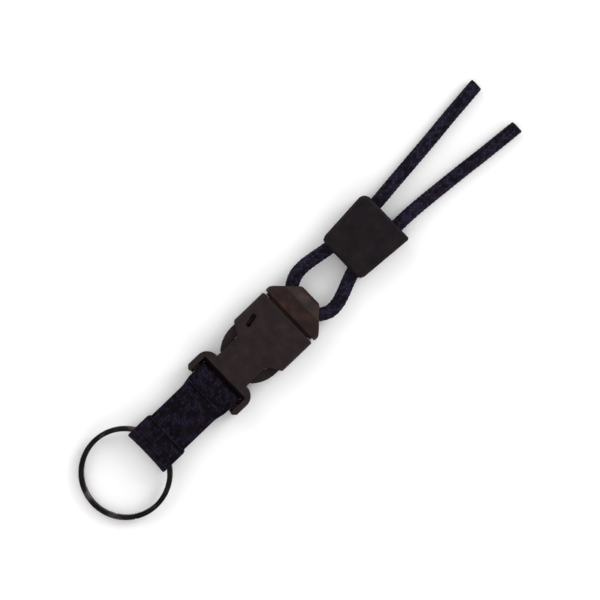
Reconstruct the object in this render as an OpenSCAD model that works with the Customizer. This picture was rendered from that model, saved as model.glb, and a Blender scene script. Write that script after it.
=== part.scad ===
/* [Key ring] */
// Outside diameter of the split ring
ring_od = 25.4; // [21:0.1:32]
// Radial width of the ring wire
ring_wire_w = 1.35; // [1:0.05:1.8]
// Height of one turn of the ring wire
ring_wire_t = 1.1; // [0.8:0.05:1.4]

/* [Strap] */
// Width of the webbing between its stitch rows
tape_w = 12.7; // [10:0.1:15.5]
// Thickness of one layer of webbing
tape_t = 1.4; // [1.1:0.05:1.8]
// Distance between the centres of the strap's two folds
strap_len = 23; // [18:0.1:30]
// Diameter of the sewing thread
thread_d = 0.6; // [0.4:0.05:0.7]

/* [Buckle] */
// Width of the buckle's mouth section
buckle_w = 18.9; // [15.7:0.1:23]
// Thickness of the buckle
buckle_t = 7.2; // [6.6:0.1:9]
// Diameter of the bar that the webbing wraps
bar_d = 2.2; // [1.8:0.1:2.8]
// Length of the side windows that the arms show in
window_len = 8.4; // [7:0.1:10.2]
// Length of the mouth section
mouth_len = 11.2; // [9.2:0.1:13.5]
// How far each arm's shoulder stands out past the mouth's inner wall
catch_depth = 1.05; // [0.7:0.05:1.3]

/* [Cord] */
// Diameter of the cord
cord_d = 3.8; // [3.1:0.1:4.6]
// Distance from the plug head's cord holes to the slider
loop_len = 14.3; // [11.5:0.1:20]
// How far the two cord legs reach past the slider
leg_len = 41.9; // [30:0.1:60]

/* [Slider] */
// Length of the slider
slider_len = 17.2; // [14:0.1:21]
// Thickness of the slider
slider_t = 7.2; // [6.8:0.1:9]
// How much wider the slider is at its cord-end face
slider_flare = 2; // [0:0.1:4]

/* [Hidden] */
cord_clear = 0.15;    // cord in its holes, per side
body_t = max(buckle_t, cord_d + 2 * cord_clear + 2.4); // the buckle is always thick enough for the cord and a wall each side
$fn = 64;
e = 0.01;

// running clearances
eye_clear = 0.1;      // ring wire in the ring fold
bar_clear = 0.15;     // webbing on the bar
slide_clear = 0.2;    // plug in the mouth, top and bottom
side_clear = 0.35;    // plug in the mouth, each side
latch_play = 0.25;    // arm shoulder to mouth wall
seat_clear = 0.06;    // arm root in its seat

// ring
ring_ro = ring_od / 2;
ring_ri = ring_ro - ring_wire_w;
ring_h = 2 * ring_wire_t;
split_at = -30;       // plan angle of the visible wire end
split_arc = 26;       // how far round the lower wire end is from the upper
end_gap = 1.8;        // gap at each wire end, in degrees

// strap folds
loop_w = tape_w + 0.8;
wire_near = sqrt(pow(ring_ri, 2) - pow(loop_w / 2, 2));
ring_to_eye = (ring_ro + wire_near) / 2;
eye_ri = sqrt(pow((ring_ro - wire_near) / 2, 2) + pow(ring_h / 2, 2)) + eye_clear;
eye_ro = eye_ri + tape_t;
bar_ri = bar_d / 2 + bar_clear;
bar_ro = bar_ri + tape_t;
eye_neck = eye_ro + 0.45;   // eye centre to where the two layers meet
bar_neck = bar_ro + 0.95;
row_in = 0.5;               // stitch row from the start of the flat part

// heights above the surface the object lies on
mid_z = body_t / 2;
eye_z = eye_ro;
drop = mid_z - eye_z;
strap_tilt = abs(drop) < 0.05 ? 0 : asin(drop / strap_len);
far_edge = ring_to_eye + ring_ro;
ring_tilt = asin(eye_z / norm([far_edge, ring_h / 2])) - atan2(ring_h / 2, far_edge);

rail_end = 1.1;       // how far the frame's rails reach past the bar
slot_gap = 0.85;      // free gap between the webbing's fold and the front plate
ledge_w = slot_gap + 0.35; // width of the ledge along the slot's lower edge, under the webbing's fold
ledge_side = 0.72;    // its width at the slot's two ends
ledge_t = 0.8;        // and its thickness

// stations along the object, from the ring's centre
y_eye = ring_to_eye;
y_bar = y_eye + strap_len * cos(strap_tilt);
y_rail = y_bar - bar_d / 2 - rail_end;
slot_hw = loop_w / 2 + 1.05;
rail_w = 1.65;
frame_hw = slot_hw + rail_w;
y_slot = y_bar + bar_ro + slot_gap;
frame_t = max(bar_d + 2.2, body_t * 0.8);
y_frame = y_slot + 2.2;
y_cav = y_slot + 3.5;
y_win = y_cav + window_len;
y_mouth = y_win + mouth_len;
groove = 0.8;
y_head = y_mouth + groove;

// socket walls
plate_hw = buckle_w * 0.3;
side_wall = 1.9;
cav_hw = buckle_w / 2 - side_wall;
plate_t = 1.3;
cav_h = body_t - 2 * plate_t;

// plug arms
arm_h = cav_h - 2 * slide_clear;
arm_out = cav_hw + catch_depth;
arm_y0 = y_cav + 0.25;
arm_y1 = y_win - latch_play;
arm_r = window_len * 1.14;
arm_wall = 2.6;
pivot_x = cav_hw - 1.4;
pivot_y = y_mouth - 3.2;
root_r = 1.2;
beam_w = 1.3;
pad_h = arm_h;        // the pads pass between the plates when the plug is drawn out

// plug head and its curved cord passage
hole_r = cord_d / 2 + cord_clear;
bend_r = 1.8 * cord_d;
exit_a = 50;          // how far round its bend the cord is where it leaves the head
exit_x = bend_r * sin(exit_a);
head_wall = 1.4;
head_hw = max(buckle_w / 2 + 0.05, exit_x + hole_r + 1.2);
head_t = max(body_t - 0.2, 2 * hole_r + 2.4);
y_bend = y_head + head_wall + hole_r + bend_r;
exit_y = y_bend - bend_r * cos(exit_a);
top_hw = exit_x - hole_r * cos(45) - 0.5;
y_top = exit_y + exit_x - top_hw;
side_h = exit_x + exit_y - head_hw - y_head;
roof = 3.4;

// slider
slider_x = -1.3;
chan_gap = 2.16 * cord_d;
bell = 0.6;           // how much wider each channel is at its mouths
bell_len = 3;
slider_bot_w = chan_gap + 2 * (hole_r + bell) + 1.8;
slider_top_w = slider_bot_w + slider_flare;
slider_z = slider_t / 2;
y_sl0 = exit_y + loop_len;
y_sl1 = y_sl0 + slider_len;
slider_edge = 0.7;
left_x = slider_x - 0.2 - chan_gap / 2;
right_x = slider_x - 0.2 + chan_gap / 2;

// the frame's origin is under the middle of the hard parts
y_min = y_eye - far_edge * cos(ring_tilt) - ring_h / 2 * sin(ring_tilt);
y_off = -(y_min + y_sl1) / 2;

// cord route, one end to the other
r_cord = cord_d / 2;
floor_z = r_cord + 0.03;
head_z = mid_z;
left_leg = [
    [left_x - 4.5, y_sl1 + leg_len, floor_z],
    [left_x - 3.9, y_sl1 + leg_len * 0.86, floor_z],
    [left_x - 3.3, y_sl1 + leg_len * 0.72, floor_z],
    [left_x - 2.6, y_sl1 + leg_len * 0.58, floor_z],
    [left_x - 1.9, y_sl1 + leg_len * 0.42, floor_z],
    [left_x - 1.3, y_sl1 + leg_len * 0.28, floor_z + (slider_z - r_cord) * 0.2],
    [left_x - 0.7, y_sl1 + leg_len * 0.14, floor_z + (slider_z - r_cord) * 0.65],
    [left_x - 0.2, y_sl1 + leg_len * 0.03, slider_z - 0.1],
    [left_x, y_sl1 - 3, slider_z],
    [left_x, (y_sl0 + y_sl1) / 2, slider_z],
    [left_x, y_sl0 + 3, slider_z],
    [left_x - 0.2, y_sl0 + 0.2, slider_z],
    [left_x - 0.65, y_sl0 - loop_len * 0.2, (slider_z + head_z) / 2],
    [left_x - 1.15, y_sl0 - loop_len * 0.41, (slider_z + head_z) / 2],
    [min(left_x - 1.4, 0.2 - bend_r), y_sl0 - loop_len * 0.615, head_z],
    [-bend_r * sin(75) - 0.05, y_bend - bend_r * cos(75), head_z]
];
bend = [for (a = [-exit_a, -25, 0, 25, exit_a, 75]) [bend_r * sin(a), y_bend - bend_r * cos(a), head_z]];
right_leg = [
    [bend_r - 0.3, y_sl0 - loop_len * 0.61, head_z],
    [right_x + 3.05, y_sl0 - loop_len * 0.41, (slider_z + head_z) / 2],
    [right_x + 1.8, y_sl0 - loop_len * 0.2, (slider_z + head_z) / 2],
    [right_x + 0.65, y_sl0 + 0.2, slider_z],
    [right_x, y_sl0 + 3.4, slider_z],
    [right_x, (y_sl0 + y_sl1) / 2, slider_z],
    [right_x, y_sl1 - 3, slider_z],
    [right_x - 0.1, y_sl1 + leg_len * 0.03, slider_z - 0.1],
    [right_x, y_sl1 + leg_len * 0.14, floor_z + (slider_z - r_cord) * 0.65],
    [right_x + 0.4, y_sl1 + leg_len * 0.28, floor_z + (slider_z - r_cord) * 0.2],
    [right_x + 0.9, y_sl1 + leg_len * 0.42, floor_z],
    [right_x + 1.5, y_sl1 + leg_len * 0.58, floor_z],
    [right_x + 2.1, y_sl1 + leg_len * 0.72, floor_z],
    [right_x + 2.6, y_sl1 + leg_len * 0.86, floor_z],
    [right_x + 3.1, y_sl1 + leg_len, floor_z]
];
route = concat(left_leg, bend, right_leg);

// a smooth curve through points, n steps from each to the next
function curve_at(a, b, c, d, t) = ((2 * b) + (c - a) * t + (2 * a - 5 * b + 4 * c - d) * t * t
    + (3 * b - a - 3 * c + d) * t * t * t) / 2;
function curve(p, n) = [for (i = [0:len(p) - 2]) for (k = [0:n - 1])
    curve_at(i == 0 ? 2 * p[0] - p[1] : p[i - 1], p[i], p[i + 1],
        i + 2 > len(p) - 1 ? 2 * p[i + 1] - p[i] : p[i + 2], k / n), p[len(p) - 1]];
function unit(v) = v / norm(v);
function heading(p, i) = unit(p[min(i + 1, len(p) - 1)] - p[max(i - 1, 0)]);
// one ring of corners round a path point; both cord ends are cut square to the object's length
function corners(p, i, s, r) = let (t = heading(p, i), u = unit(cross(t, [0, 0, 1])), w = cross(u, t),
    cut = (i == 0 || i == len(p) - 1))
    [for (k = [0:s - 1]) let (q = r * (u * cos(360 * k / s) + w * sin(360 * k / s)))
        p[i] + q - (cut ? t * q[1] / t[1] : [0, 0, 0])];
module tube(p, s, r) {
    n = len(p);
    pts = [for (i = [0:n - 1]) for (c = corners(p, i, s, r)) c];
    polyhedron(pts, concat([[for (k = [0:s - 1]) k]],
        [for (i = [0:n - 2]) for (k = [0:s - 1])
            [i * s + k, (i + 1) * s + k, (i + 1) * s + (k + 1) % s, i * s + (k + 1) % s]],
        [[for (k = [s - 1:-1:0]) (n - 1) * s + k]]));
}

// outline in y and z pushed along x, and outline in x and z pushed along y
module along_x(w) translate([-w / 2, 0, 0]) rotate([90, 0, 90]) linear_extrude(w) children();
module along_y(y0, y1) translate([0, y1, 0]) rotate([90, 0, 0]) linear_extrude(y1 - y0) children();
module both_sides() { children(); mirror([1, 0, 0]) children(); }

// rounded bar section, hw either side, from z0 to z1
module soft_box(hw, z0, z1, r) {
    translate([-hw + r, z0]) square([2 * (hw - r), z1 - z0]);
    translate([-hw, z0 + r]) square([2 * hw, z1 - z0 - 2 * r]);
    for (x = [-hw + r, hw - r], z = [z0 + r, z1 - r]) translate([x, z]) circle(r);
}

// flat wire section for the ring
wire_edge = 0.22;
wire_sec = [[ring_ri, wire_edge], [ring_ri + wire_edge, 0], [ring_ro - wire_edge, 0], [ring_ro, wire_edge],
    [ring_ro, ring_wire_t - wire_edge], [ring_ro - wire_edge, ring_wire_t],
    [ring_ri + wire_edge, ring_wire_t], [ring_ri, ring_wire_t - wire_edge]];

// two stacked turns of wire, each with its end's gap, the lower one hidden under the upper
module split_ring() color("#171313")
    translate([0, y_eye, eye_z]) rotate([ring_tilt, 0, 0]) translate([0, -ring_to_eye, -ring_h / 2]) {
        rotate([0, 0, split_at - split_arc])
            rotate_extrude(angle = 360 - end_gap, $fn = 128) polygon(wire_sec);
        translate([0, 0, ring_wire_t - e]) rotate([0, 0, split_at])
            rotate_extrude(angle = 360 - end_gap, $fn = 128) polygon(wire_sec);
    }

// the strap's own frame: y from the bar towards the ring's fold
module strap_frame() translate([0, y_bar, mid_z]) rotate([strap_tilt, 0, 0]) children();

// teardrop: a circle with its tangents drawn to the point or edge at distance p
module fold(r, p, t) {
    b = atan2(t, p);
    a = b + acos(r / norm([p, t]));
    circle(r);
    polygon(t > 0 ? [[r * cos(a), r * sin(a)], [0, 0], [r * cos(a), -r * sin(a)], [p, -t], [p, t]]
        : [[r * cos(a), r * sin(a)], [0, 0], [r * cos(a), -r * sin(a)], [p, 0]]);
}

module strap() color("#1b1824") strap_frame() {
    difference() {
        along_x(loop_w) translate([-strap_len, 0]) fold(eye_ro, eye_neck, tape_t);
        along_x(loop_w + 2) translate([-strap_len, 0]) fold(eye_ri, eye_neck - 0.35, 0);
    }
    difference() {
        along_x(loop_w) mirror([1, 0]) fold(bar_ro, bar_neck, tape_t);
        along_x(loop_w + 2) mirror([1, 0]) fold(bar_ri, bar_neck - 0.35, 0);
    }
    along_x(tape_w) translate([-strap_len + eye_neck - e, -tape_t])
        square([strap_len - eye_neck - bar_neck + 2 * e, 2 * tape_t]);
}

// one row of thread through both layers, whipped over the tape's edges
module stitch_row() {
    $fn = 24;
    n = 6;
    step = tape_w / n;
    z = tape_t + thread_d * 0.2;
    for (s = [-1, 1]) for (i = [0:n - 1]) translate([-tape_w / 2 + step * (i + 0.5), 0, s * z])
        rotate([0, 90, 0]) cylinder(d = thread_d, h = step * 0.8, center = true);
    for (s = [-1, 1]) translate([0, 0, s * (z - thread_d * 0.35)])
        rotate([0, 90, 0]) cylinder(d = thread_d * 0.7, h = tape_w + 0.2, center = true);
    for (s = [-1, 1]) translate([s * (tape_w / 2 + 0.1), 0, 0]) {
        cylinder(d = thread_d, h = 2 * (z - thread_d * 0.35), center = true);
        for (q = [-1, 1]) translate([0, 0, q * (z - thread_d * 0.35)]) sphere(d = thread_d);
    }
}

module stitch_row_ring() color("#231e33") strap_frame()
    translate([0, -strap_len + eye_neck + row_in, 0]) stitch_row();

module stitch_row_bar() color("#231e33") strap_frame()
    translate([0, -bar_neck - row_in, 0]) stitch_row();

// socket outline seen from above
module socket_plan() {
    r = 3.4;
    // frame
    difference() {
        union() {
            translate([-frame_hw, y_rail]) square([2 * frame_hw, y_frame - y_rail - r]);
            translate([-frame_hw + r, y_rail]) square([2 * (frame_hw - r), y_frame - y_rail]);
            for (s = [-1, 1]) translate([s * (frame_hw - r), y_frame - r]) circle(r);
        }
        translate([-slot_hw, y_rail - 1]) square([2 * slot_hw, y_slot - y_rail + 1]);
        for (s = [-1, 1]) translate([s * frame_hw, y_rail]) rotate(45) square(1.3, center = true);
    }
    // neck and front plate
    translate([-plate_hw, y_slot]) square([2 * plate_hw, y_win - y_slot]);
    // mouth section with its slanted lower edge
    polygon([[-plate_hw, y_win - 2.5], [plate_hw, y_win - 2.5], [plate_hw + 0.6, y_win - 1.6],
        [buckle_w / 2 - 0.5, y_win - 0.1], [buckle_w / 2, y_win + 0.4],
        [buckle_w / 2, y_mouth - 0.35], [buckle_w / 2 - 0.35, y_mouth],
        [-buckle_w / 2 + 0.35, y_mouth], [-buckle_w / 2, y_mouth - 0.35],
        [-buckle_w / 2, y_win + 0.4], [-buckle_w / 2 + 0.5, y_win - 0.1], [-plate_hw - 0.6, y_win - 1.6]]);
}

// socket outline seen from the side
module socket_side() {
    t0 = mid_z - frame_t / 2;
    t1 = mid_z + frame_t / 2;
    polygon([[y_rail - 1, t0], [y_slot + 0.4, t0], [y_cav + 0.8, 0], [y_mouth - 0.3, 0], [y_mouth, 0.3],
        [y_mouth, body_t - 0.3], [y_mouth - 0.3, body_t], [y_cav + 0.8, body_t],
        [y_slot + 0.4, t1], [y_rail - 1, t1]]);
}

module buckle_socket() color("#2b2523") {
    difference() {
        intersection() {
            translate([0, 0, -1]) linear_extrude(body_t + 2) socket_plan();
            along_x(4 * buckle_w) socket_side();
            along_y(y_rail - 1, y_mouth + 1) soft_box(max(buckle_w / 2, frame_hw), 0, body_t, 1.6);
        }
        // hollow of the mouth, open at the side windows
        along_y(y_cav, y_mouth + 1) soft_box(cav_hw, plate_t, body_t - plate_t, 0.5);
        translate([-buckle_w, y_cav, plate_t]) cube([2 * buckle_w, window_len, cav_h]);
        // lead-in at the mouth
        along_x(2 * cav_hw) polygon([[y_mouth - 0.5, body_t / 2], [y_mouth - 0.5, plate_t],
            [y_mouth + 0.1, plate_t - 0.4], [y_mouth + 0.1, body_t - plate_t + 0.4], [y_mouth - 0.5, body_t - plate_t]]);
        // slit in the front plate over the left arm
        translate([-buckle_w * 0.33, y_win + 3.6, body_t - plate_t / 2 + 0.2]) rotate([0, 0, 11]) {
            cube([1.3, 2.6, plate_t + 1], center = true);
            for (s = [-1, 1]) translate([0, s * 1.3, 0]) cylinder(r = 0.65, h = plate_t + 1, center = true);
        }
    }
    // ledge along the slot's lower edge
    difference() {
        translate([-slot_hw - e, y_rail, mid_z - frame_t / 2]) cube([2 * slot_hw + 2 * e, y_slot - y_rail + e, ledge_t]);
        translate([-slot_hw + ledge_side, y_rail - 1, -1])
            cube([2 * (slot_hw - ledge_side), y_slot - y_rail + 1 - ledge_w, body_t]);
    }
    // bar
    translate([0, y_bar, mid_z]) rotate([0, 90, 0]) cylinder(d = bar_d, h = 2 * slot_hw + 1, center = true);
}

// plug head outline seen from above
module head_plan() {
    c = 0.8;
    polygon([[-head_hw + 0.3, y_head], [head_hw - 0.3, y_head], [head_hw, y_head + 0.3],
        [head_hw, y_head + side_h - c * 0.6], [head_hw - c * 0.25, y_head + side_h + 0.05],
        [head_hw - c, y_head + side_h + c], [top_hw + 0.25, y_top - 0.25], [top_hw - 0.2, y_top],
        [-top_hw + 0.2, y_top], [-top_hw - 0.25, y_top - 0.25], [-head_hw + c, y_head + side_h + c],
        [-head_hw + c * 0.25, y_head + side_h + 0.05], [-head_hw, y_head + side_h - c * 0.6], [-head_hw, y_head + 0.3]]);
}

module plug_body() color("#2f2825") {
    difference() {
        intersection() {
            translate([0, 0, -1]) linear_extrude(body_t + 4) head_plan();
            along_y(y_head, y_top) soft_box(head_hw, mid_z - head_t / 2, mid_z + head_t / 2, 2);
            along_x(4 * head_hw) polygon([[y_head, mid_z - head_t / 2 + 0.25], [y_head + 0.25, mid_z - head_t / 2],
                [y_top - roof, mid_z - head_t / 2], [y_top - 0.5, mid_z - head_t / 2 + 1.45], [y_top, mid_z - head_t / 2 + 2],
                [y_top, mid_z + head_t / 2 - 2], [y_top - 0.5, mid_z + head_t / 2 - 1.45], [y_top - roof, mid_z + head_t / 2],
                [y_head + 0.25, mid_z + head_t / 2], [y_head, mid_z + head_t / 2 - 0.25]]);
        }
        // curved cord passage, out through both slanted faces
        translate([0, y_bend, head_z]) rotate([0, 0, -90 - 62])
            rotate_extrude(angle = 124, $fn = 96) translate([bend_r, 0]) circle(hole_r, $fn = 48);
    }
    // collar in the groove between mouth and head
    along_y(y_mouth + 0.15, y_head + 0.5) soft_box(buckle_w / 2 - 0.95, mid_z - body_t / 2 + 1.5, mid_z + body_t / 2 - 1.5, 0.9);
    // block that fills the mouth, with an open seat for each arm's root
    difference() {
        along_y(pivot_y, y_head) soft_box(cav_hw - side_clear, mid_z - arm_h / 2, mid_z + arm_h / 2, 0.4);
        for (s = [-1, 1]) translate([s * pivot_x, pivot_y, -1]) cylinder(r = root_r + seat_clear, h = body_t + 2);
    }
    along_y(pivot_y - 1.5, pivot_y + e) soft_box(pivot_x - root_r - 0.35, mid_z - arm_h / 2, mid_z + arm_h / 2, 0.4);
    // guide tongue
    along_y(y_cav + 4.1, pivot_y) soft_box(1.3, mid_z - 1.4, mid_z + 1.4, 0.5);
}

// one arm, drawn on the right-hand side
module arm() {
    cx = arm_out - arm_r;
    cy = arm_y1 - 1.3;
    sh = arm_out - 1.35;
    translate([0, 0, mid_z - arm_h / 2]) linear_extrude(arm_h) {
        // curved head behind the window
        intersection() {
            difference() {
                union() {
                    translate([cx, cy]) circle(arm_r, $fn = 128);
                    translate([0, cy]) square([arm_out, arm_y1 - cy]);
                }
                translate([cx, cy]) circle(arm_r - arm_wall, $fn = 128);
            }
            polygon([[arm_out - 4.1, arm_y0], [arm_out - 2.3, arm_y0], [arm_out + 1, arm_y0 + 3], [arm_out + 1, arm_y1],
                [arm_out - arm_wall - 0.1, arm_y1], [arm_out - 4.6, arm_y1 - 2.5], [arm_out - 4.6, arm_y0 + 0.5]]);
        }
        // beam
        polygon([[pivot_x - beam_w / 2, pivot_y], [pivot_x + beam_w / 2, pivot_y], [sh, arm_y1 - 0.4],
            [sh - beam_w, arm_y1 - 0.4]]);
        translate([pivot_x, pivot_y]) circle(root_r);
    }
    // finger pad
    translate([0, 0, mid_z - pad_h / 2]) linear_extrude(pad_h) intersection() {
        translate([cx, cy]) circle(arm_r, $fn = 128);
        translate([arm_out - 1.45, arm_y0 + 1.2]) square([3, y_win - 2.3 - arm_y0 - 1.2]);
    }
}

module plug_arm_right() color("#2a2422") arm();
module plug_arm_left() color("#2a2422") mirror([1, 0, 0]) arm();

module cord() color("#1a1726") tube(curve(route, 2), 8, r_cord);

// slider outline, drawn in by i all round
function slider_plan(i) = let (b = slider_bot_w / 2 - i, t = slider_top_w / 2 - i, y0 = y_sl0 + i, y1 = y_sl1 - i)
    [[-b + 1.6, y0], [b - 1.4, y0], [b - 0.4, y0 + 0.5], [b, y0 + 1.5],
        [t, y1 - 0.5], [t - 0.4, y1], [-t + 1.9, y1], [-t + 1, y1 - 0.35],
        [-t + 0.35, y1 - 1], [-t, y1 - 1.9], [-b, y0 + 1.5], [-b + 0.5, y0 + 0.4]];

// closed solid through a stack of outlines, each [z, outline]
module stack(levels) {
    m = len(levels[0][1]);
    n = len(levels);
    pts = [for (l = levels) for (q = l[1]) [q[0], q[1], l[0]]];
    polyhedron(pts, concat([[for (k = [0:m - 1]) m - 1 - k]],
        [for (i = [0:n - 2]) for (k = [0:m - 1]) for (h = [0, 1]) let (a = i * m + k, b = i * m + (k + 1) % m)
            h == 0 ? [a, b, b + m] : [a, b + m, a + m]],
        [[for (k = [0:m - 1]) (n - 1) * m + k]]), convexity = 4);
}

module cord_slider() color("#211e1f") translate([slider_x, 0, 0]) difference() {
    stack([[0, slider_plan(slider_edge)], [slider_edge, slider_plan(0)],
        [slider_t - slider_edge, slider_plan(0)], [slider_t, slider_plan(slider_edge)]]);
    for (x = [left_x, right_x]) translate([x - slider_x, y_sl0, slider_z]) rotate([-90, 0, 0]) {
        translate([0, 0, -1]) cylinder(r = hole_r, h = slider_len + 2);
        translate([0, 0, -e]) cylinder(r1 = hole_r + bell, r2 = hole_r, h = bell_len);
        translate([0, 0, slider_len - bell_len + e]) cylinder(r1 = hole_r, r2 = hole_r + bell, h = bell_len);
    }
}

translate([0, y_off, 0]) {
    split_ring();
    strap();
    stitch_row_ring();
    stitch_row_bar();
    buckle_socket();
    plug_body();
    plug_arm_left();
    plug_arm_right();
    cord();
    cord_slider();
}
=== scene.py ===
import bpy, math
import numpy as np
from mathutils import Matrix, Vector


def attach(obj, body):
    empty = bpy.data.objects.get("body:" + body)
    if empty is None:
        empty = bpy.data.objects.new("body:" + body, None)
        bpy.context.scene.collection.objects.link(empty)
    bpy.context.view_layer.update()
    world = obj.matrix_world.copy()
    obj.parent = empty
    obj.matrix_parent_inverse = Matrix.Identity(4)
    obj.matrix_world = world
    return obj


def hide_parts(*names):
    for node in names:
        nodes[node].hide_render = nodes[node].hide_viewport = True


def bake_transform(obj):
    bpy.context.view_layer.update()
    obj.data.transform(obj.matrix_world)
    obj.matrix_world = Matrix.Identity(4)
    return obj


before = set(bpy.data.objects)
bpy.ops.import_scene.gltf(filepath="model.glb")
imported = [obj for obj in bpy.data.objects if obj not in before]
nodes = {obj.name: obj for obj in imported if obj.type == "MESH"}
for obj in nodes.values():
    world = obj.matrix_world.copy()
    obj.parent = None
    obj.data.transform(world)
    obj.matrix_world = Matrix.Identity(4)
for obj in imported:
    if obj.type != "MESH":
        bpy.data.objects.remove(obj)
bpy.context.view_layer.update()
MM = 0.001


# ---------------------------------------------------------------- small tools

def linear(hex_colour):
    """sRGB hex to linear RGBA."""
    value = [int(hex_colour[i:i + 2], 16) / 255 for i in (1, 3, 5)]
    return tuple(c / 12.92 if c <= 0.04045 else ((c + 0.055) / 1.055) ** 2.4
                 for c in value) + (1.0,)


def add(tree, kind, links=(), **settings):
    """A node of this kind with its settings; links are (input, source socket or value)."""
    n = tree.nodes.new(kind)
    for key, value in settings.items():
        setattr(n, key, value)
    for name, source in links:
        if isinstance(source, bpy.types.NodeSocket):
            tree.links.new(source, n.inputs[name])
        else:
            n.inputs[name].default_value = source
    return n


def ramp(tree, source, stops):
    """A colour ramp over (position, hex or grey value) stops."""
    n = add(tree, "ShaderNodeValToRGB", [("Fac", source)])
    while len(n.color_ramp.elements) < len(stops):
        n.color_ramp.elements.new(0.5)
    for element, (at, colour) in zip(n.color_ramp.elements, stops):
        element.position = at
        element.color = linear(colour) if isinstance(colour, str) else (colour, colour, colour, 1)
    return n.outputs["Color"]


def new_material(name, **sockets):
    """A principled material whose constant values sit on the shader's own sockets."""
    m = bpy.data.materials.new(name)
    m.use_nodes = True
    shader = m.node_tree.nodes["Principled BSDF"]
    for key, value in sockets.items():
        shader.inputs[key.replace("_", " ")].default_value = value
    return m, m.node_tree, shader


def dress(obj, material):
    obj.data.materials.clear()
    obj.data.materials.append(material)


def closed_skin(name, rings):
    """A closed skin through equal rings of points, with a face over each end."""
    n, m = len(rings), len(rings[0])
    points = np.concatenate(rings).tolist()
    faces = [(i * m + k, i * m + (k + 1) % m, (i + 1) * m + (k + 1) % m, (i + 1) * m + k)
             for i in range(n - 1) for k in range(m)]
    faces += [tuple(range(m - 1, -1, -1)), tuple((n - 1) * m + k for k in range(m))]
    mesh = bpy.data.meshes.new(name)
    mesh.from_pydata(points, [], faces)
    mesh.update()
    obj = bpy.data.objects.new(name, mesh)
    bpy.context.collection.objects.link(obj)
    return obj


def point_values(obj, name, values):
    layer = obj.data.attributes.new(name, "FLOAT", "POINT")
    layer.data.foreach_set("value", np.asarray(values, np.float32))


def smooth_shade(obj):
    obj.data.polygons.foreach_set("use_smooth", [True] * len(obj.data.polygons))
    obj.data.update()


def curve(p, n):
    """A smooth curve through points, n steps from each to the next."""
    p = np.asarray(p, float)
    p = np.vstack([2 * p[0] - p[1], p, 2 * p[-1] - p[-2]])
    out = []
    for i in range(1, len(p) - 2):
        a, b, c, d = p[i - 1:i + 3]
        for k in range(n):
            t = k / n
            out.append((2 * b + (c - a) * t + (2 * a - 5 * b + 4 * c - d) * t * t
                        + (3 * b - a - 3 * c + d) * t ** 3) / 2)
    return np.array(out + [p[-2]])


def lengths(line):
    return np.concatenate([[0], np.cumsum(np.linalg.norm(np.diff(line, axis=0), axis=1))])


def cell_tone(a, b):
    """An even random value from 0 to 1 for each whole-numbered cell."""
    v = np.sin(a * 127.1 + b * 311.7) * 43758.5453
    return v - np.floor(v)


# ---------------------------------------------------------------- camera

camera = bpy.data.objects.new("camera", bpy.data.cameras.new("camera"))
bpy.context.collection.objects.link(camera)
camera.data.sensor_width = 36
camera.data.clip_start = 0.05
camera_height = 0.9
camera.data.lens = 36 * camera_height / 0.1613
camera.location = (-1.10 * MM, 23.15 * MM, camera_height + 3.6 * MM)
camera.rotation_euler = (0, 0, math.radians(46.2))
bpy.context.scene.camera = camera
bpy.context.scene.view_settings.view_transform = "Standard"


# ---------------------------------------------------------------- cord

cord_d = 3.8
loop_len, leg_len = 14.3, 41.9
head_z = slider_z = 3.6
floor_z = 1.93
left_x, right_x = -5.604, 2.604
bend_r = 6.84
y_bend = 28.5912
y_sl0, y_sl1 = 38.4946, 55.6946
r_cord = cord_d / 2

left_leg = [
    (left_x - 4.5, y_sl1 + leg_len, floor_z),
    (left_x - 3.9, y_sl1 + leg_len * 0.86, floor_z),
    (left_x - 3.3, y_sl1 + leg_len * 0.72, floor_z),
    (left_x - 2.6, y_sl1 + leg_len * 0.58, floor_z),
    (left_x - 1.9, y_sl1 + leg_len * 0.42, floor_z),
    (left_x - 1.3, y_sl1 + leg_len * 0.28, floor_z + (slider_z - r_cord) * 0.2),
    (left_x - 0.7, y_sl1 + leg_len * 0.14, floor_z + (slider_z - r_cord) * 0.65),
    (left_x - 0.2, y_sl1 + leg_len * 0.03, slider_z - 0.1),
    (left_x, y_sl1 - 3, slider_z),
    (left_x, (y_sl0 + y_sl1) / 2, slider_z),
    (left_x, y_sl0 + 3, slider_z),
    (left_x - 0.2, y_sl0 + 0.2, slider_z),
    (left_x - 0.65, y_sl0 - loop_len * 0.2, head_z),
    (left_x - 1.15, y_sl0 - loop_len * 0.41, head_z),
    (left_x - 1.4, y_sl0 - loop_len * 0.615, head_z),
]
bend = [(bend_r * math.sin(math.radians(a)) - (0.05 if a == -75 else 0),
         y_bend - bend_r * math.cos(math.radians(a)), head_z)
        for a in (-75, -50, -25, 0, 25, 50, 75)]
right_leg = [
    (bend_r - 0.3, y_sl0 - loop_len * 0.61, head_z),
    (right_x + 3.05, y_sl0 - loop_len * 0.41, head_z),
    (right_x + 1.8, y_sl0 - loop_len * 0.2, head_z),
    (right_x + 0.65, y_sl0 + 0.2, slider_z),
    (right_x, y_sl0 + 3.4, slider_z),
    (right_x, (y_sl0 + y_sl1) / 2, slider_z),
    (right_x, y_sl1 - 3, slider_z),
    (right_x - 0.1, y_sl1 + leg_len * 0.03, slider_z - 0.1),
    (right_x, y_sl1 + leg_len * 0.14, floor_z + (slider_z - r_cord) * 0.65),
    (right_x + 0.4, y_sl1 + leg_len * 0.28, floor_z + (slider_z - r_cord) * 0.2),
    (right_x + 0.9, y_sl1 + leg_len * 0.42, floor_z),
    (right_x + 1.5, y_sl1 + leg_len * 0.58, floor_z),
    (right_x + 2.1, y_sl1 + leg_len * 0.72, floor_z),
    (right_x + 2.6, y_sl1 + leg_len * 0.86, floor_z),
    (right_x + 3.1, y_sl1 + leg_len, floor_z),
]
cord_line = curve(left_leg + bend + right_leg, 20)
cord_run = lengths(cord_line)


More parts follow.
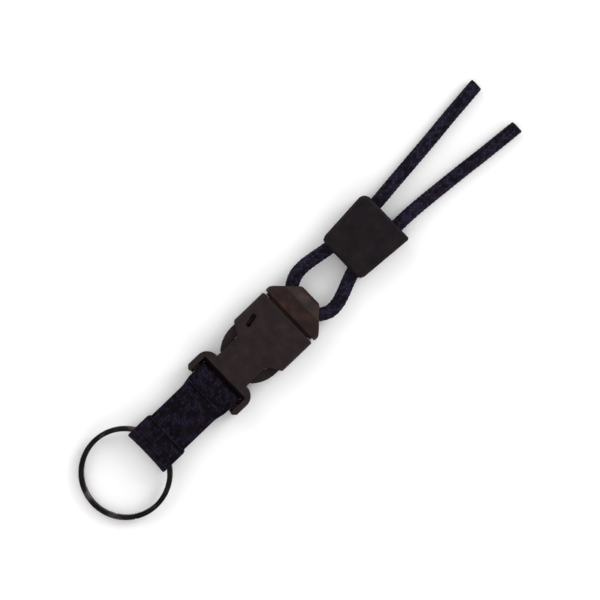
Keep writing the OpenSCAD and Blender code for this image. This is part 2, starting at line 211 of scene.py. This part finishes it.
def braided_cord():
    """Twenty-end braid as real relief on a tube, with sealed square ends."""
    around, ends_each_way, lay = 80, 10, 13.0
    relief, end_rings = 0.2, 4
    heading = np.gradient(cord_line, axis=0)
    heading /= np.linalg.norm(heading, axis=1)[:, None]
    side = np.cross(heading, [0, 0, 1])
    side /= np.linalg.norm(side, axis=1)[:, None]
    top = np.cross(side, heading)
    angle = np.arange(around) / around * 2 * math.pi
    rings, tones, crowns = [], [], []
    last = len(cord_line) - 1
    for i in range(last + 1):
        p = angle / (2 * math.pi) * ends_each_way + cord_run[i] / lay * ends_each_way
        q = angle / (2 * math.pi) * ends_each_way - cord_run[i] / lay * ends_each_way
        fp, fq = p - np.floor(p) - 0.5, q - np.floor(q) - 0.5
        over = (np.floor(p) + np.floor(q)) % 2 == 0
        across, along = np.where(over, fp, fq), np.where(over, fq, fp)
        crown = (1 - (2 * np.abs(across)) ** 2.4) * (1 - 0.6 * (2 * np.abs(along)) ** 2)
        radius = r_cord - 0.19 + relief * crown
        from_end = min(i, last - i)
        if from_end < end_rings:
            radius = radius - 0.05 * (end_rings - from_end) / end_rings
        ring = cord_line[i] + radius[:, None] * (np.cos(angle)[:, None] * side[i]
                                                 + np.sin(angle)[:, None] * top[i])
        if from_end < end_rings:
            offset = ring - cord_line[i]
            ring = ring - (heading[i] * (offset[:, 1] / heading[i][1])[:, None]
                           * (1 - from_end / end_rings))
        ring[:, 2] = np.maximum(ring[:, 2], 0.02)
        rings.append(ring)
        tones.append(cell_tone(np.where(over, np.floor(p), np.floor(q) + 40),
                               np.where(over, np.floor(q), np.floor(p))))
        crowns.append(crown)
    # ends drawn in to a slightly dished face
    for at, put, faces_out in ((0, lambda rows, row: rows.insert(0, row), -heading[0]),
                               (-1, lambda rows, row: rows.append(row), heading[last])):
        rim = rings[at]
        centre = rim.mean(0)
        for share, out in ((0.92, 0.06), (0.6, 0.03), (0.25, -0.03)):
            put(rings, centre + (rim - centre) * share + faces_out * out)
            put(tones, np.full(around, 0.2))
            # a crown of 0.35 darkens the end faces with the painted shade as well
            put(crowns, np.full(around, 0.35))
    obj = closed_skin("cord_braid", [r * MM for r in rings[::-1]])
    point_values(obj, "tone", np.concatenate(tones[::-1]))
    # crown is the braid's relief, and it also sets the painted shade in the fabric material
    point_values(obj, "crown", np.concatenate(crowns[::-1]))
    smooth_shade(obj)
    return obj


cord = braided_cord()
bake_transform(cord)
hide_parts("cord")


# ---------------------------------------------------------------- webbing

tape_w, tape_t, loop_w = 12.7, 1.4, 14.0
mid_z, y_eye, y_bar = 3.6, -32.0988, -9.0988
eye_r, bar_r = 2.9, 1.95
eye_neck, bar_neck = 4.05, 3.6
row_ring, row_bar = y_eye + eye_neck + 0.5, y_bar - bar_neck - 0.5


def tape_path():
    """Middle line of the tape in y and z.

    It runs under, round the ring's wire, along the top, round the bar and back under.
    """
    lay = tape_t / 2 + 0.02
    gap = 0.5

    def fold(centre, r, neck, away):
        tilt = math.atan2(lay, neck) + math.acos(r / math.hypot(neck, lay))
        turn = np.linspace(-tilt, -(2 * math.pi - tilt), 26)
        return [(centre + away * r * math.cos(a), mid_z + r * math.sin(a)) for a in turn]

    middle = (row_ring + row_bar) / 2
    ring_side = fold(y_eye, eye_r, eye_neck, 1)
    bar_side = [(y, 2 * mid_z - z) for y, z in fold(y_bar, bar_r, bar_neck, -1)]
    start = [(y, mid_z - lay) for y in np.linspace(middle - gap, y_eye + eye_neck, 8)]
    top = [(y, mid_z + lay) for y in np.linspace(y_eye + eye_neck, y_bar - bar_neck, 14)]
    finish = [(y, mid_z - lay) for y in np.linspace(y_bar - bar_neck, middle + gap, 8)]
    rough = np.array(start + ring_side + top + bar_side + finish)
    run = lengths(rough)
    even = np.arange(0, run[-1], 0.2)
    line = np.c_[np.interp(even, run, rough[:, 0]), np.interp(even, run, rough[:, 1])]
    for _ in range(12):
        line[1:-1] = line[1:-1] * 0.5 + (line[:-2] + line[2:]) * 0.25
    return line


tape_line = tape_path()
tape_run = lengths(tape_line)


def folded_webbing():
    """One tape with coarse woven relief on both faces, wider where it is folded."""
    across_n, rib, stitch = 96, 0.79, 1.05
    heading = np.gradient(tape_line, axis=0)
    heading /= np.linalg.norm(heading, axis=1)[:, None]
    rings, tones, crowns = [], [], []
    last = len(tape_line) - 1
    for i, (y, z) in enumerate(tape_line):
        at = np.clip((row_ring - y) / 0.35, -1, 1) * 0.5 + 0.5
        bar = np.clip((y - (y_bar - 7.2)) / 4.5, 0, 1)
        width = tape_w + (loop_w - tape_w) * max(at, bar * bar * (3 - 2 * bar))
        pinch = sum(math.exp(-((y - row) / 0.45) ** 2) for row in (row_ring, row_bar))
        s = np.linspace(-1, 1, across_n)
        x = s * width / 2
        edge = np.clip((width / 2 - np.abs(x)) / 0.6, 0, 1)
        body = 0.12 + 0.88 * np.sqrt(1 - (1 - edge) ** 2)
        col = (x + 50) / rib
        row = tape_run[i] / stitch + 0.5 * (np.floor(col) % 2) + 0.13 * np.sin(np.floor(col) * 2.3)
        fx, fy = col - np.floor(col) - 0.5, row - np.floor(row) - 0.5
        slant = fy + 0.35 * fx
        crown = (1 - (2 * np.abs(fx)) ** 2.2) * (1 - np.clip(2 * np.abs(slant), 0, 1) ** 2.2)
        # the folds are pulled taut, so the weave lies flatter there with ribs across
        taut = np.clip((y_eye + 2.2 - y) / 2.5, 0, 1)
        flat = 0.5 + 0.5 * math.cos(2 * math.pi * tape_run[i] / 0.95)
        crown = crown * (1 - 0.75 * taut) + 0.55 * taut * flat
        half = tape_t / 2 - 0.2 + 0.2 * crown - 0.07 * min(pinch, 1)
        normal = np.array([-heading[i][1], heading[i][0]])
        bow = 0.3 * (1 - np.abs(s) ** 3) * np.clip((y_eye - y) / 2.9, 0, 1)
        if min(i, last - i) < 3:
            body = body * (0.45 + 0.18 * min(i, last - i))
        upper = np.c_[x, y + bow + normal[0] * half * body, z + normal[1] * half * body]
        lower = np.c_[x, y + bow - normal[0] * half * body, z - normal[1] * half * body]
        rings.append(np.vstack([upper, lower[::-1]]))
        tone = cell_tone(np.floor(col), np.floor(row))
        tones.append(np.concatenate([tone, tone[::-1]]))
        crowns.append(np.concatenate([crown, crown[::-1]]))
    obj = closed_skin("strap_webbing", [r * MM for r in rings])
    point_values(obj, "tone", np.concatenate(tones))
    # crown is the weave's relief, and it also sets the painted shade in the fabric material, on the ribs
    # across the folds too
    point_values(obj, "crown", np.concatenate(crowns))
    smooth_shade(obj)
    return obj


webbing = folded_webbing()
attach(webbing, "strap")
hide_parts("strap")


# ---------------------------------------------------------------- materials

def fabric(name, dark, middle, warm, light, yarn_mm):
    """Dyed nylon yarn: deep navy with duller and lighter ends, painted shade between the yarns, a faint
    sheen.
    """
    m, tree, shader = new_material(name, Roughness=0.8, Specular_IOR_Level=0.06,
                                   Sheen_Weight=0.01, Sheen_Roughness=0.5, IOR=1.5)
    place = add(tree, "ShaderNodeTexCoord").outputs["Object"]
    tone = add(tree, "ShaderNodeAttribute", attribute_name="tone").outputs["Fac"]
    crown = add(tree, "ShaderNodeAttribute", attribute_name="crown").outputs["Fac"]
    blotch = add(tree, "ShaderNodeTexNoise",
                 [("Vector", place), ("Scale", 420.0), ("Detail", 2.0)]).outputs["Fac"]
    mixed = add(tree, "ShaderNodeMath", [(0, tone), (1, blotch)], operation="ADD").outputs[0]
    half = add(tree, "ShaderNodeMath", [(0, mixed), (1, 0.5)], operation="MULTIPLY").outputs[0]
    yarn = ramp(tree, half, [(0.25, dark), (0.42, middle), (0.54, warm), (0.66, light)])
    # painted shade: the yarn colour is multiplied down to a quarter where the crown is low, in the
    # crevices between the yarns
    shade = ramp(tree, crown, [(0.0, 0.25), (0.55, 0.8), (1.0, 1.0)])
    colour = add(tree, "ShaderNodeMix", data_type="RGBA", blend_type="MULTIPLY")
    colour.inputs[0].default_value = 1.0
    tree.links.new(yarn, colour.inputs[6])
    tree.links.new(shade, colour.inputs[7])
    tree.links.new(colour.outputs[2], shader.inputs["Base Color"])
    fibre = add(tree, "ShaderNodeTexNoise",
                [("Vector", place), ("Scale", 1000.0 / yarn_mm), ("Detail", 3.0)]).outputs["Fac"]
    bump = add(tree, "ShaderNodeBump",
               [("Height", fibre), ("Strength", 0.5), ("Distance", 0.12 * MM)]).outputs["Normal"]
    tree.links.new(bump, shader.inputs["Normal"])
    return m


def moulded(name, base, worn, dull, rough, grain_mm=0.22):
    """Moulded acetal: matte spark-eroded skin, faint flow marks, a little paler in random patches."""
    m, tree, shader = new_material(name, IOR=1.45, Specular_IOR_Level=0.12)
    place = add(tree, "ShaderNodeTexCoord").outputs["Object"]
    cloud = add(tree, "ShaderNodeTexNoise", [("Vector", place), ("Scale", 300.0), ("Detail", 5.0),
                                             ("Roughness", 0.65)]).outputs["Fac"]
    colour = ramp(tree, cloud, [(0.3, dull), (0.52, base), (0.75, worn)])
    tree.links.new(colour, shader.inputs["Base Color"])
    grain = add(tree, "ShaderNodeTexNoise",
                [("Vector", place), ("Scale", 1000.0 / grain_mm), ("Detail", 3.0)]).outputs["Fac"]
    gloss = ramp(tree, cloud, [(0.25, rough + 0.08), (0.75, rough - 0.06)])
    tree.links.new(gloss, shader.inputs["Roughness"])
    soft_edge = add(tree, "ShaderNodeBevel", [("Radius", 0.4 * MM)], samples=6).outputs["Normal"]
    bump = add(tree, "ShaderNodeBump", [("Height", grain), ("Strength", 0.35), ("Distance", 0.05 * MM),
                                        ("Normal", soft_edge)]).outputs["Normal"]
    tree.links.new(bump, shader.inputs["Normal"])
    return m


def blackened_steel():
    """Black oxide on spring steel wire: dark brown-black with a satin shine and rubbed arcs."""
    m, tree, shader = new_material("blackened_spring_steel", Metallic=0.85)
    place = add(tree, "ShaderNodeTexCoord").outputs["Object"]
    rub = add(tree, "ShaderNodeTexNoise",
              [("Vector", place), ("Scale", 260.0), ("Detail", 4.0)]).outputs["Fac"]
    tree.links.new(ramp(tree, rub, [(0.35, "#0f0b0d"), (0.58, "#1c1617"), (0.75, "#544b4b")]),
                   shader.inputs["Base Color"])
    tree.links.new(ramp(tree, rub, [(0.3, 0.5), (0.8, 0.34)]), shader.inputs["Roughness"])
    return m


dress(cord, fabric("braided_nylon", "#0d0a12", "#161221", "#221822", "#252236", 0.18))
dress(webbing, fabric("woven_nylon_tape", "#08060a", "#100c17", "#1c111b", "#1f1a2c", 0.2))
thread = fabric("nylon_thread", "#08060c", "#110e18", "#18111b", "#232033", 0.12)
for name in ("stitch_row_ring", "stitch_row_bar"):
    obj = nodes[name]
    point_values(obj, "tone", np.full(len(obj.data.vertices), 0.6))
    # a crown of 0.9 leaves only slight painted shade on the thread
    point_values(obj, "crown", np.full(len(obj.data.vertices), 0.9))
    dress(obj, thread)
buckle_skin = moulded("moulded_acetal", "#241a1b", "#2d2220", "#1b1518", 0.5)
head_skin = moulded("moulded_acetal_head", "#281a19", "#40291e", "#191214", 0.42)
slider_skin = moulded("moulded_nylon_slider", "#150f13", "#1f1718", "#0d090d", 0.52)
dress(nodes["buckle_socket"], buckle_skin)
dress(nodes["plug_arm_left"], buckle_skin)
dress(nodes["plug_arm_right"], buckle_skin)
dress(nodes["plug_body"], head_skin)
dress(nodes["cord_slider"], slider_skin)
dress(nodes["split_ring"], blackened_steel())


# ---------------------------------------------------------------- floor and light

bpy.ops.object.select_all(action="DESELECT")
bpy.ops.mesh.primitive_plane_add(size=6)
floor = bpy.context.object
floor.name = "pale_floor"
floor_skin, _, floor_shader = new_material("pale_paper", Roughness=0.9)
floor_shader.inputs["Base Color"].default_value = linear("#fbfbfb")
dress(floor, floor_skin)


def soft_light(name, place, size, watts, target=(0, 0.02, 0)):
    lamp = bpy.data.objects.new(name, bpy.data.lights.new(name, "AREA"))
    bpy.context.collection.objects.link(lamp)
    lamp.data.shape = "DISK"
    lamp.data.size = size
    lamp.data.energy = watts
    lamp.location = place
    lamp.rotation_euler = (Vector(target) - Vector(place)).to_track_quat("-Z", "Y").to_euler()


soft_light("key_soft", (0.15, 0.8, 0.5), 0.5, 3.2)
soft_light("fill_left", (-0.8, 0.1, 0.55), 0.9, 1.8)
soft_light("fill_right", (0.75, -0.45, 0.5), 0.9, 1.5)
world = bpy.data.worlds.new("studio")
bpy.context.scene.world = world
world.use_nodes = True
world.node_tree.nodes["Background"].inputs["Color"].default_value = (1, 1, 1, 1)
world.node_tree.nodes["Background"].inputs["Strength"].default_value = 0.85
